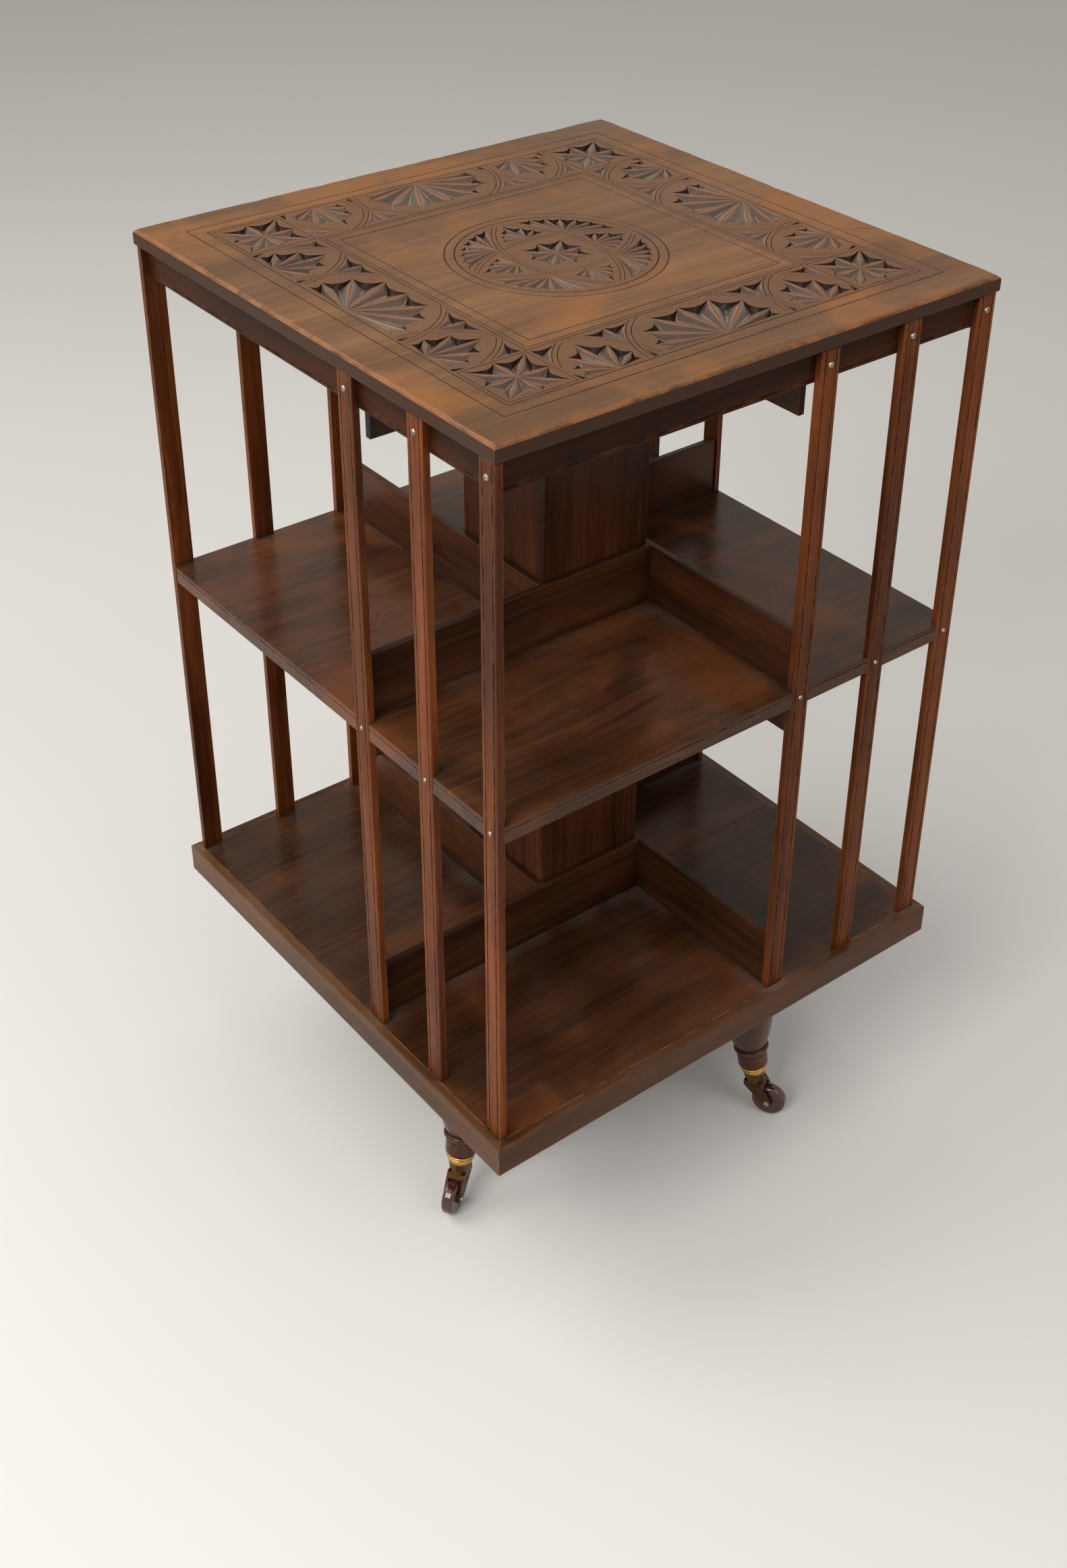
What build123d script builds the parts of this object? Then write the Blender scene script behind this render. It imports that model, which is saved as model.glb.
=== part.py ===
from build123d import *
import os
from math import cos, radians, sin, tan

# Revolving bookcase, two tiers on a castored cross base. Millimetres, Z up, floor at Z = 0.
# The case turns on an upright spindle. Its four faces repeat every quarter turn, like a pinwheel:
# seen from outside, each face has an open book bay on the left and three slats on the right.

# Plan of the case
top_side = 480.0
top_overhang = 1.5
slat_width = 18.5
slat_thickness = 6.0
shelf_setback = 0.5
lipping_thickness = 8.0
column_half = 54.5
panel_thickness = 8.0
board_thickness = 6.0
centre_slat_offset = 62.0
middle_slat_shift = 2.0

# Heights, from the floor up
wheel_diameter = 33.0
base_underside = 140.0
rail_height = 42.0
case_gap = 5.0
lipping_height = 31.0
tray_thickness = 18.0
lower_storey = 297.5
shelf_thickness = 14.5
upper_storey = 294.0
top_thickness = 13.0
frieze_height = 27.0
slat_top_gap = 1.2

# Boards that stop the books, standing and hanging
standing_height = 54.0
shelf_hanging_height = 27.0
top_hanging_height = 60.0

# Small sections and edges
top_chamfer = 3.2
frieze_thickness = 15.0
quirk_width = 1.0
quirk_depth = 0.9
slat_bead = 3.4
slat_round = 1.1
shelf_bead = 3.2
shelf_round = 1.0
frieze_bead = 2.6
frieze_round = 0.8
board_round = 0.8
board_joint = 0.1
lipping_round = 4.5
lipping_top_round = 0.9
tray_joint_width = 0.7
tray_joint_depth = 1.2
tray_joint_offset = 45.0
housing_clearance = 0.1

# Chip carving of the top: lines, in from the board's edge, and the points that grooves spring from
border_line = 31.0
band_line = 43.0
band_inner_line = 106.5
field_line = 119.0
line_width = 1.0
line_depth = 0.8
shell_line = 44.5
rosette_line = 75.6
crossing_rise = 30.5
band_end_rise = 34.5
band_end_inset = 0.9
roundel_shift = (-3.0, -2.0)
roundel_radius = 79.2
roundel_line_radius = 87.0
arm_reach = 38.3
wedge_reach = 33.6
groove_knee = 0.6

# Grooves between the leaves of each shell: lean from its middle, root, length, half width and depth
rosette_grooves = [(22.5, 1.0, 28.5, 6.3, 3.6)]
broad_shell = [
    (13.5, 1.5, 60.5, 8.2, 3.8),
    (39.5, 1.7, 64.5, 8.2, 3.8),
    (64, 1.8, 64.0, 8.0, 3.8),
    (83.5, 2.5, 55.0, 3.4, 3.0),
]
small_shell = [(12.5, 1.6, 48.5, 6.2, 3.3), (39, 1.5, 38.5, 5.2, 3.3), (68, 1.4, 26.5, 3.6, 2.8)]
crossing_shell = [(20, 0.6, 31.0, 3.6, 2.9)]
band_end_groove = [(0, 0.5, 28.0, 3.2, 2.6)]
band_end_lean = 25.0
heart_grooves = [(22.5, 1.0, 24.5, 5.6, 3.0)]
arm_shell = [(0, 1.6, 29.0, 3.2, 2.8), (25.5, 1.6, 21.0, 2.6, 2.6), (49, 1.6, 17.5, 2.9, 2.5)]
wedge_shell = [(0, 1.6, 26.0, 3.8, 3.4), (27.5, 1.6, 27.0, 3.9, 3.4), (55, 1.6, 33.5, 4.6, 3.4)]

# Round-head screws
frieze_screw_head = 5.2
frieze_screw_rise = 1.8
shelf_screw_head = 4.2
shelf_screw_rise = 1.4
screw_shank = 2.6
frieze_screw_length = 16.0
shelf_screw_length = 20.0
screw_slot_width = 0.7
screw_slot_depth = 0.6
slot_step = 37.0
frieze_screw_drop = 13.0

# Spindle and its bearings
spindle_radius = 9.0
pivot_radius = 7.0
pivot_length = 14.0
pivot_root = 1.0
running_clearance = 0.08
spindle_flange_radius = 26.0
spindle_flange_thickness = 5.0
spindle_tail = 14.0
nut_sides = 6
nut_flats = 26.0
nut_height = 9.0
washer_radius = 18.0
washer_thickness = 2.0
shelf_hole_clearance = 4.0
cap_flange_radius = 27.0
cap_flange_thickness = 4.0
cap_wall = 6.0
cap_height = 28.0
bush_wall = 4.0
bush_flange_radius = 24.0
bush_flange_thickness = 4.0

# Cross base and legs
base_turn = 29.4
rail_length = 450.0
rail_end_reach = 12.0
leg_splay = 9.6
rail_width = 58.0
rail_round = 3.0
tenon_radius = 10.0
tenon_length = 24.0
tenon_clearance = 0.1
leg_blank_spare = 1.0
leg_drum_radius = 14.3
leg_drum_height = 18.0
leg_drum_bevel = 2.0
leg_line_depth = 0.5
leg_line_width = 1.0
leg_line_drop = 2.0
leg_collar_radius = 16.8
leg_collar_height = 5.4
leg_neck_radius = 14.6
leg_shoulder_radius = 22.8
leg_shoulder_height = 26.0
leg_top_radius = 27.0

# Castors
wheel_width = 11.0
wheel_round = 3.4
wheel_hub_radius = 6.0
wheel_hub_rise = 0.4
wheel_top_clearance = 0.6
caster_trail = 15.5
horn_boss_radius = 8.6
horn_boss_height = 5.0
horn_arm_thickness = 2.2
horn_side_clearance = 0.7
horn_eye_radius = 4.6
swivel_gap = 0.3
swivel_pin_radius = 3.0
swivel_pin_length = 5.0
axle_radius = 1.6
axle_head_radius = 2.8
axle_head_height = 1.0
ferrule_height = 18.5
ferrule_floor = 6.5
ferrule_wall = 1.0
ferrule_mouth_radius = 12.6
ferrule_foot_radius = 9.2
ferrule_ring = 0.9
ferrule_ring_spacing = 3.5

# Levels worked out from the sizes above
rail_top = base_underside + rail_height
lipping_bottom = rail_top + case_gap
tray_top = lipping_bottom + lipping_height
tray_bottom = tray_top - tray_thickness
shelf_bottom = tray_top + lower_storey
shelf_top = shelf_bottom + shelf_thickness
top_bottom = shelf_top + upper_storey
frieze_bottom = top_bottom - frieze_height
top = top_bottom + top_thickness
slat_top = top_bottom - slat_top_gap
shelf_middle = (shelf_bottom + shelf_top) / 2
screw_level = top_bottom - frieze_screw_drop

# Distances from the turning axis to the planes of a face
slat_face = top_side / 2 - top_overhang
slat_back = slat_face - slat_thickness
shelf_face = slat_face - shelf_setback
lipping_face = slat_face + lipping_thickness
board_face = column_half + board_thickness
frieze_back = slat_back - frieze_thickness

# Slats of one face: over the board end, a little past half way, and at the corner
corner_slat = slat_face - slat_width / 2
middle_slat = (centre_slat_offset + corner_slat) / 2 + middle_slat_shift
slat_places = {"centre": centre_slat_offset, "middle": middle_slat, "corner": corner_slat}

# Quarter turns of the faces and of the legs
quarter = 90
faces = {"front": 0, "right": quarter, "back": 2 * quarter, "left": 3 * quarter}
legs = {name: base_turn + turn for name, turn in zip("1234", faces.values())}

# Radius of the castors' circle, set in from the rail ends
caster_circle_radius = rail_length / 2 - rail_end_reach

# Castor levels
wheel_radius = wheel_diameter / 2
boss_bottom = wheel_diameter + wheel_top_clearance
boss_top = boss_bottom + horn_boss_height
ferrule_bottom = boss_top + swivel_gap
arm_inner = wheel_width / 2 + horn_side_clearance
arm_outer = arm_inner + horn_arm_thickness
horn_slot_length = 2 * (caster_trail + wheel_diameter)


def face_plane(turn, height):
    """Level plane whose -Y side looks out of a face of the case."""
    return Plane.XY.offset(height).rotated((0, 0, turn))


def outer_plane(turn, distance):
    """Upright plane that looks out of a face, at a distance from the axis, with Y up."""
    outward = Vector(0, -1, 0).rotate(Axis.Z, turn)
    rightward = Vector(1, 0, 0).rotate(Axis.Z, turn)
    return Plane(origin=outward * distance, x_dir=rightward, z_dir=outward)


def foot_point(turn, height):
    """Point on the swivel axis of a castor."""
    return Vector(caster_circle_radius, 0, height).rotate(Axis.Z, turn)


def leg_frame(turn):
    """Frame of a splayed leg: Z climbs the leg from the castor, X leans outward."""
    outward = Vector(cos(radians(leg_splay)), 0, sin(radians(leg_splay)))
    climb = Vector(-sin(radians(leg_splay)), 0, cos(radians(leg_splay)))
    return Plane(
        origin=foot_point(turn, ferrule_bottom),
        x_dir=outward.rotate(Axis.Z, turn),
        z_dir=climb.rotate(Axis.Z, turn),
    )


def profile_plane(frame):
    """Plane through the frame's axis, with X as the radius and Y along the axis."""
    return Plane(origin=frame.origin, x_dir=frame.x_dir, z_dir=frame.y_dir * -1)


def trail_plane(turn, trail_shift=0.0):
    """Upright plane through a castor's swivel axis, X along its trail, origin on the floor."""
    trail = Vector(1, 0, 0).rotate(Axis.Z, turn)
    return Plane(
        origin=foot_point(turn, 0) + trail * trail_shift,
        x_dir=trail,
        z_dir=trail.cross(Vector(0, 0, 1)),
    )


def write(piece, name):
    """Label a finished piece and write it out."""
    piece.part.label = name
    export_step(piece.part, f"parts/{name}.step")


os.makedirs("parts", exist_ok=True)

# Points that the carved grooves of one quarter spring from, with the middle heading of each
eighth = quarter / 2
shell_y = shell_line - top_side / 2
shell_pitch = (top_side / 2 - band_inner_line) / 2
rosette_place = rosette_line - top_side / 2
crossing_y = shell_y + crossing_rise
band_end = 2 * shell_pitch - band_end_inset
band_end_y = shell_y + band_end_rise
band_springs = [
    (0, shell_y, quarter, broad_shell),
    (-3 * shell_pitch / 2, shell_y, quarter, small_shell),
    (3 * shell_pitch / 2, shell_y, quarter, small_shell),
    (-shell_pitch, crossing_y, quarter, crossing_shell),
    (shell_pitch, crossing_y, quarter, crossing_shell),
    (-band_end, band_end_y, quarter - band_end_lean, band_end_groove),
    (band_end, band_end_y, quarter + band_end_lean, band_end_groove),
]
for spoke in faces.values():
    band_springs.append((rosette_place, rosette_place, spoke, rosette_grooves))
roundel_springs = [
    (0, 0, 0, heart_grooves),
    (arm_reach, 0, 0, arm_shell),
    (wedge_reach, wedge_reach, eighth, wedge_shell),
]
carving = {(0, 0): band_springs, roundel_shift: roundel_springs}

# Top board, chamfered round its upper edge, with its lines and grooves cut in
with BuildPart() as top_board:
    with BuildSketch(Plane.XY.offset(top_bottom)):
        Rectangle(top_side, top_side)
    extrude(amount=top_thickness)
    chamfer(top_board.faces().sort_by(Axis.Z)[-1].edges(), length=top_chamfer)
    cuts = []
    for inset in (border_line, band_line, band_inner_line, field_line):
        reach = top_side / 2 - inset
        for turn in faces.values():
            along = Vector(1, 0, 0).rotate(Axis.Z, turn)
            inward = Vector(0, 1, 0).rotate(Axis.Z, turn)
            corner = (along + inward) * -reach + Vector(0, 0, top)
            with BuildSketch(Plane(corner, x_dir=inward, z_dir=along), mode=Mode.PRIVATE) as notch:
                Polygon((-line_width / 2, 0), (line_width / 2, 0), (0, -line_depth), align=None)
            cuts.append(extrude(notch.sketch, amount=2 * reach, mode=Mode.PRIVATE))
    roundel_axis = Axis((*roundel_shift, 0), (0, 0, 1))
    for radius in (roundel_radius, roundel_line_radius):
        side = Plane((roundel_shift[0] + radius, roundel_shift[1], top), x_dir=(1, 0, 0), z_dir=(0, -1, 0))
        with BuildSketch(side, mode=Mode.PRIVATE) as notch:
            Polygon((-line_width / 2, 0), (line_width / 2, 0), (0, -line_depth), align=None)
        cuts.append(revolve(notch.sketch, axis=roundel_axis, mode=Mode.PRIVATE))
    for hub, springs in carving.items():
        for turn in faces.values():
            for x, y, middle, grooves in springs:
                spring = Vector(x, y, 0).rotate(Axis.Z, turn) + Vector(*hub, top)
                for lean, root, length, half_width, depth in grooves:
                    for heading in {turn + middle - lean, turn + middle + lean}:
                        outward = Vector(1, 0, 0).rotate(Axis.Z, heading)
                        seat = Plane(spring + outward * root, x_dir=outward, z_dir=(0, 0, 1))
                        knee = groove_knee * length
                        valley = seat.from_local_coords((knee, 0, -depth))
                        with BuildSketch(seat, mode=Mode.PRIVATE) as groove:
                            Polygon((0, 0), (knee, -half_width), (length, 0), (knee, half_width), align=None)
                        shape = [groove.sketch.face(), Vertex(*valley)]
                        cuts.append(loft(shape, ruled=True, mode=Mode.PRIVATE))
    add(cuts, mode=Mode.SUBTRACT)
write(top_board, "top_board")

# Frieze rails under the top, each butting against the next one's back
for face, turn in faces.items():
    across = Axis((0, 0, 0), outer_plane(turn, 0).x_dir)
    outward = Axis((0, 0, 0), outer_plane(turn, 0).z_dir)
    with BuildPart() as frieze:
        with BuildSketch(face_plane(turn, frieze_bottom)):
            with Locations((-frieze_thickness / 2, -(slat_back + frieze_back) / 2)):
                Rectangle(2 * slat_back - frieze_thickness, frieze_thickness)
        extrude(amount=frieze_height)
        lower_arris = frieze.edges().filter_by(across).sort_by(Axis.Z)[:2].sort_by(outward)[-1]
        fillet(lower_arris, radius=frieze_round)
        with BuildSketch(outer_plane(turn, slat_back)):
            with Locations((0, frieze_bottom + frieze_bead + quirk_width / 2)):
                Rectangle(2 * slat_back, quirk_width)
        extrude(amount=-quirk_depth, mode=Mode.SUBTRACT)
        with BuildSketch(outer_plane(turn, slat_back)):
            with Locations((centre_slat_offset, screw_level), (middle_slat, screw_level)):
                Circle(screw_shank / 2)
        extrude(amount=slat_thickness - frieze_screw_length, mode=Mode.SUBTRACT)
        with BuildSketch(outer_plane(turn - quarter, slat_back)):
            with Locations((corner_slat, screw_level)):
                Circle(screw_shank / 2)
        extrude(amount=slat_thickness - frieze_screw_length, mode=Mode.SUBTRACT)
    write(frieze, f"frieze_{face}")

# Slats, each with a bead along both long arrises
for face, turn in faces.items():
    for place, x in slat_places.items():
        with BuildPart() as slat:
            with BuildSketch(face_plane(turn, tray_bottom)) as section:
                with Locations((x, -(slat_face + slat_back) / 2)):
                    Rectangle(slat_width, slat_thickness)
                fillet(section.vertices().group_by(Axis.Y)[0], radius=slat_round)
                quirk_place = slat_width / 2 - slat_bead - quirk_width / 2
                with Locations((x - quirk_place, -slat_face), (x + quirk_place, -slat_face)):
                    Rectangle(quirk_width, 2 * quirk_depth, mode=Mode.SUBTRACT)
            extrude(amount=slat_top - tray_bottom)
            with BuildSketch(outer_plane(turn, slat_face)):
                with Locations((x, screw_level), (x, shelf_middle)):
                    Circle(screw_shank / 2 + housing_clearance)
            extrude(amount=-slat_thickness, mode=Mode.SUBTRACT)
        write(slat, f"slat_{face}_{place}")

# Middle shelf, with a bead round its edge and the slats let into it
with BuildPart() as middle_shelf:
    with BuildSketch(Plane.XY.offset(shelf_bottom)):
        Rectangle(2 * shelf_face, 2 * shelf_face)
    extrude(amount=shelf_thickness)
    fillet(middle_shelf.faces().sort_by(Axis.Z)[-1].edges(), radius=shelf_round)
    with BuildSketch(Plane.XY.offset(shelf_top - shelf_bead - quirk_width)):
        Rectangle(2 * shelf_face, 2 * shelf_face)
        Rectangle(2 * (shelf_face - quirk_depth), 2 * (shelf_face - quirk_depth), mode=Mode.SUBTRACT)
    extrude(amount=quirk_width, mode=Mode.SUBTRACT)
    with BuildSketch(Plane.XY.offset(shelf_bottom)):
        Circle(spindle_radius + shelf_hole_clearance)
        with PolarLocations(0, len(faces)):
            with Locations(*[(x, -(slat_face + slat_back) / 2) for x in slat_places.values()]):
                Rectangle(slat_width + 2 * housing_clearance, slat_thickness)
    extrude(amount=shelf_thickness, mode=Mode.SUBTRACT)
    for turn in faces.values():
        with BuildSketch(outer_plane(turn, slat_back)):
            with Locations(*[(x, shelf_middle) for x in slat_places.values()]):
                Circle(screw_shank / 2)
        extrude(amount=-(shelf_screw_length - slat_thickness), mode=Mode.SUBTRACT)
write(middle_shelf, "middle_shelf")

# Tray panel, three boards wide, with the slats let into its edges
with BuildPart() as tray_panel:
    with BuildSketch(Plane.XY.offset(tray_bottom)):
        Rectangle(2 * slat_face, 2 * slat_face)
        Circle(spindle_radius + running_clearance + bush_wall + housing_clearance, mode=Mode.SUBTRACT)
        with PolarLocations(0, len(faces)):
            with Locations(*[(x, -(slat_face + slat_back) / 2) for x in slat_places.values()]):
                Rectangle(slat_width + 2 * housing_clearance, slat_thickness, mode=Mode.SUBTRACT)
    extrude(amount=tray_thickness)
    with BuildSketch(Plane.XY.offset(tray_top)):
        with Locations((0, -tray_joint_offset), (0, tray_joint_offset)):
            Rectangle(2 * slat_face, tray_joint_width)
    extrude(amount=-tray_joint_depth, mode=Mode.SUBTRACT)
write(tray_panel, "tray_panel")

# Tray lipping, mitred at the corners
for face, turn in faces.items():
    across = Axis((0, 0, 0), outer_plane(turn, 0).x_dir)
    outward = Axis((0, 0, 0), outer_plane(turn, 0).z_dir)
    with BuildPart() as tray_lipping:
        with BuildSketch(face_plane(turn, lipping_bottom)):
            with BuildLine():
                Polyline(
                    (-lipping_face, -lipping_face),
                    (lipping_face, -lipping_face),
                    (slat_face, -slat_face),
                    (-slat_face, -slat_face),
                    close=True,
                )
            make_face()
        extrude(amount=lipping_height)
        outer_arrises = tray_lipping.edges().filter_by(across).sort_by(outward)[-2:].sort_by(Axis.Z)
        fillet(outer_arrises[0], radius=lipping_round)
        outer_arrises = tray_lipping.edges().filter_by(across).sort_by(Axis.Z)[-2:].sort_by(outward)
        fillet(outer_arrises[-1], radius=lipping_top_round)
    write(tray_lipping, f"tray_lipping_{face}")

# Column panels, a square box in each storey
storeys = {"lower": (tray_top, lower_storey), "upper": (shelf_top, upper_storey)}
for storey, (level, height) in storeys.items():
    for face, turn in faces.items():
        with BuildPart() as column_panel:
            with BuildSketch(face_plane(turn, level)):
                with Locations((-panel_thickness / 2, -column_half + panel_thickness / 2)):
                    Rectangle(2 * column_half - panel_thickness, panel_thickness)
            extrude(amount=height)
        write(column_panel, f"column_{storey}_{face}")

# Book-stop boards at four levels, each inner end butting against the next board.
# Standing boards are eased along their tops, hanging ones along their undersides.
shelf_hanging_bottom = shelf_bottom - shelf_hanging_height
top_hanging_bottom = top_bottom - top_hanging_height
board_levels = {
    "tray_stop_boards": (tray_top, standing_height, slat_back, "upper"),
    "shelf_hanging_boards": (shelf_hanging_bottom, shelf_hanging_height, slat_back, "lower"),
    "shelf_stop_boards": (shelf_top, standing_height, slat_back, "upper"),
    "top_hanging_boards": (top_hanging_bottom, top_hanging_height, frieze_back, "lower"),
}
for name, (level, height, reach, eased) in board_levels.items():
    with BuildPart() as stop_boards:
        with BuildSketch(Plane.XY.offset(level)):
            with PolarLocations(0, len(faces)):
                with Locations(((column_half - board_joint - reach) / 2, -(board_face + column_half) / 2)):
                    Rectangle(column_half - board_joint + reach, board_thickness)
        extrude(amount=height)
        levels = stop_boards.faces().filter_by(Axis.Z).group_by(Axis.Z)
        free_faces = levels[-1] if eased == "upper" else levels[0]
        long_edges = free_faces.edges().filter_by(lambda edge: edge.length > 2 * board_thickness)
        fillet(long_edges, radius=board_round)
    write(stop_boards, name)

# Round-head screws: a row through the slats into the frieze, and a smaller row into the shelf
screw_rows = {
    "frieze_screws": (screw_level, frieze_screw_head, frieze_screw_rise, frieze_screw_length),
    "shelf_screws": (shelf_middle, shelf_screw_head, shelf_screw_rise, shelf_screw_length),
}
for name, (level, head, rise, length) in screw_rows.items():
    crown = rise - housing_clearance
    with BuildPart() as screws:
        for turn in faces.values():
            face = outer_plane(turn, slat_face)
            for count, x in enumerate(slat_places.values()):
                seat = Plane(face.from_local_coords((x, level, 0)), x_dir=face.x_dir, z_dir=face.z_dir)
                with BuildSketch(profile_plane(seat)):
                    with BuildLine():
                        Polyline(
                            (head / 2 - crown, rise),
                            (0, rise),
                            (0, -length),
                            (screw_shank / 2, -length),
                            (screw_shank / 2, 0),
                            (head / 2, 0),
                            (head / 2, housing_clearance),
                        )
                        CenterArc((head / 2 - crown, housing_clearance), crown, 0, quarter)
                    make_face()
                revolve(axis=Axis(seat.origin, seat.z_dir))
                with BuildSketch(seat.offset(rise)):
                    Rectangle(2 * head, screw_slot_width, rotation=slot_step * (count + 1) + turn)
                extrude(amount=-screw_slot_depth, mode=Mode.SUBTRACT)
    write(screws, name)

# Pivot cap screwed under the top, which hangs the case on the spindle's tip
pivot_seat = top_bottom - cap_height + pivot_length
cap_bore = pivot_radius + running_clearance
with BuildPart() as pivot_cap:
    with BuildSketch(Plane.XY.offset(top_bottom)):
        Circle(cap_flange_radius)
    extrude(amount=-cap_flange_thickness)
    with BuildSketch(Plane.XY.offset(top_bottom)):
        Circle(cap_bore + cap_wall)
    extrude(amount=-cap_height)
    with BuildSketch(Plane.XY.offset(pivot_seat)):
        Circle(cap_bore)
    extrude(amount=-pivot_length, mode=Mode.SUBTRACT)
write(pivot_cap, "pivot_cap")

# Bush that steadies the tray on the spindle
bush_bore = spindle_radius + running_clearance
with BuildPart() as tray_bush:
    with BuildSketch(Plane.XY.offset(tray_bottom)):
        Circle(bush_flange_radius)
    extrude(amount=-bush_flange_thickness)
    with BuildSketch(Plane.XY.offset(tray_bottom)):
        Circle(bush_bore + bush_wall)
    extrude(amount=tray_thickness)
    with BuildSketch(Plane.XY.offset(tray_bottom - bush_flange_thickness)):
        Circle(bush_bore)
    extrude(amount=tray_thickness + bush_flange_thickness, mode=Mode.SUBTRACT)
write(tray_bush, "tray_bush")

# Spindle, standing on the cross with a flange above and a threaded tail below
with BuildPart() as spindle:
    with BuildSketch(Plane.XY.offset(base_underside - spindle_tail)):
        Circle(spindle_radius)
    extrude(amount=pivot_seat - pivot_length - base_underside + spindle_tail - housing_clearance)
    with BuildSketch(Plane.XY.offset(rail_top)):
        Circle(spindle_flange_radius)
    extrude(amount=spindle_flange_thickness)
    with BuildSketch(Plane.XY.offset(pivot_seat)):
        Circle(pivot_radius)
    extrude(amount=-(pivot_length + pivot_root))
write(spindle, "spindle")

# Nut and washer under the cross
with BuildPart() as spindle_nut:
    with BuildSketch(Plane.XY.offset(base_underside)):
        Circle(washer_radius)
    extrude(amount=-washer_thickness)
    with BuildSketch(Plane.XY.offset(base_underside - washer_thickness)):
        RegularPolygon(nut_flats / 2, nut_sides, major_radius=False)
    extrude(amount=-nut_height)
    with BuildSketch(Plane.XY.offset(base_underside)):
        Circle(spindle_radius + housing_clearance)
    extrude(amount=-(washer_thickness + nut_height), mode=Mode.SUBTRACT)
write(spindle_nut, "spindle_nut")

# Cross rails, halved over each other, bored for the spindle and the leg tenons
shoulder = (base_underside - ferrule_bottom) / cos(radians(leg_splay))
shoulder_rise = leg_top_radius * tan(radians(leg_splay))
blank_top = shoulder + shoulder_rise + leg_blank_spare
rail_middle = base_underside + rail_height / 2
rails = {"base_rail_lower": ("13", rail_middle), "base_rail_upper": ("24", base_underside)}
for name, (pair, notch_bottom) in rails.items():
    turn = legs[pair[0]]
    with BuildPart() as rail:
        with BuildSketch(Plane.XY.offset(base_underside)):
            SlotOverall(rail_length, rail_width, rotation=turn)
        extrude(amount=rail_height)
        fillet(rail.faces().sort_by(Axis.Z)[0].edges(), radius=rail_round)
        with BuildSketch(Plane.XY.offset(notch_bottom)):
            Rectangle(rail_width, rail_width, rotation=turn)
        extrude(amount=rail_height / 2, mode=Mode.SUBTRACT)
        with BuildSketch(Plane.XY.offset(base_underside)):
            Circle(spindle_radius + housing_clearance)
        extrude(amount=rail_height, mode=Mode.SUBTRACT)
        for leg in pair:
            with BuildSketch(leg_frame(legs[leg]).offset(shoulder - shoulder_rise)):
                Circle(tenon_radius + tenon_clearance)
            extrude(amount=shoulder_rise + tenon_length + tenon_clearance, mode=Mode.SUBTRACT)
    write(rail, name)

# Turned legs, splayed outward: plug, bevelled drum with a cut line, collar and flaring shaft
plug_foot = ferrule_foot_radius - ferrule_wall
plug_mouth = ferrule_mouth_radius - ferrule_wall
bevel_top = ferrule_height + leg_drum_bevel
drum_top = ferrule_height + leg_drum_height
line_top = drum_top - leg_line_drop
line_bottom = line_top - leg_line_width
collar_top = drum_top + leg_collar_height
for number, turn in legs.items():
    frame = leg_frame(turn)
    with BuildPart() as leg:
        with BuildSketch(profile_plane(frame)):
            with BuildLine():
                shaft = ThreePointArc(
                    (leg_top_radius, blank_top),
                    (leg_shoulder_radius, collar_top + leg_shoulder_height),
                    (leg_neck_radius, collar_top),
                )
                collar = ThreePointArc(
                    shaft @ 1,
                    (leg_collar_radius, (drum_top + collar_top) / 2),
                    (leg_drum_radius, drum_top),
                )
                Polyline(
                    collar @ 1,
                    (leg_drum_radius, line_top),
                    (leg_drum_radius - leg_line_depth, line_top),
                    (leg_drum_radius - leg_line_depth, line_bottom),
                    (leg_drum_radius, line_bottom),
                    (leg_drum_radius, bevel_top),
                    (plug_mouth, ferrule_height),
                    (plug_foot, ferrule_floor),
                    (0, ferrule_floor),
                    (0, blank_top),
                    shaft @ 0,
                )
            make_face()
        revolve(axis=Axis(frame.origin, frame.z_dir))
        split(bisect_by=Plane.XY.offset(base_underside), keep=Keep.BOTTOM)
        with BuildSketch(frame.offset(shoulder - tenon_radius)):
            Circle(tenon_radius)
        extrude(amount=tenon_length + tenon_radius)
    write(leg, f"leg_{number}")

# Brass ferrules: a splayed cup with two rings round its mouth and a level floor for the swivel
upper_ring = ferrule_height - ferrule_ring
lower_ring = upper_ring - ferrule_ring_spacing
cup_flare = (ferrule_mouth_radius - ferrule_foot_radius) / ferrule_height
lower_ring_radius = ferrule_foot_radius + cup_flare * lower_ring
with BuildPart() as ferrules:
    for turn in legs.values():
        frame = leg_frame(turn)
        with BuildSketch(profile_plane(frame)):
            with BuildLine():
                Polyline(
                    (0, -ferrule_floor),
                    (ferrule_foot_radius, -ferrule_floor),
                    (ferrule_foot_radius, 0),
                    (ferrule_mouth_radius, ferrule_height),
                    (plug_mouth, ferrule_height),
                    (plug_foot, ferrule_floor),
                    (0, ferrule_floor),
                    close=True,
                )
            make_face()
            with Locations((ferrule_mouth_radius, upper_ring), (lower_ring_radius, lower_ring)):
                Circle(ferrule_ring)
        revolve(axis=Axis(frame.origin, frame.z_dir))
    split(bisect_by=Plane.XY.offset(ferrule_bottom), keep=Keep.TOP)
    for turn in legs.values():
        with BuildSketch(Plane(origin=foot_point(turn, ferrule_bottom))):
            Circle(swivel_pin_radius + running_clearance)
        extrude(amount=swivel_pin_length, mode=Mode.SUBTRACT)
write(ferrules, "ferrules")

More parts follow.
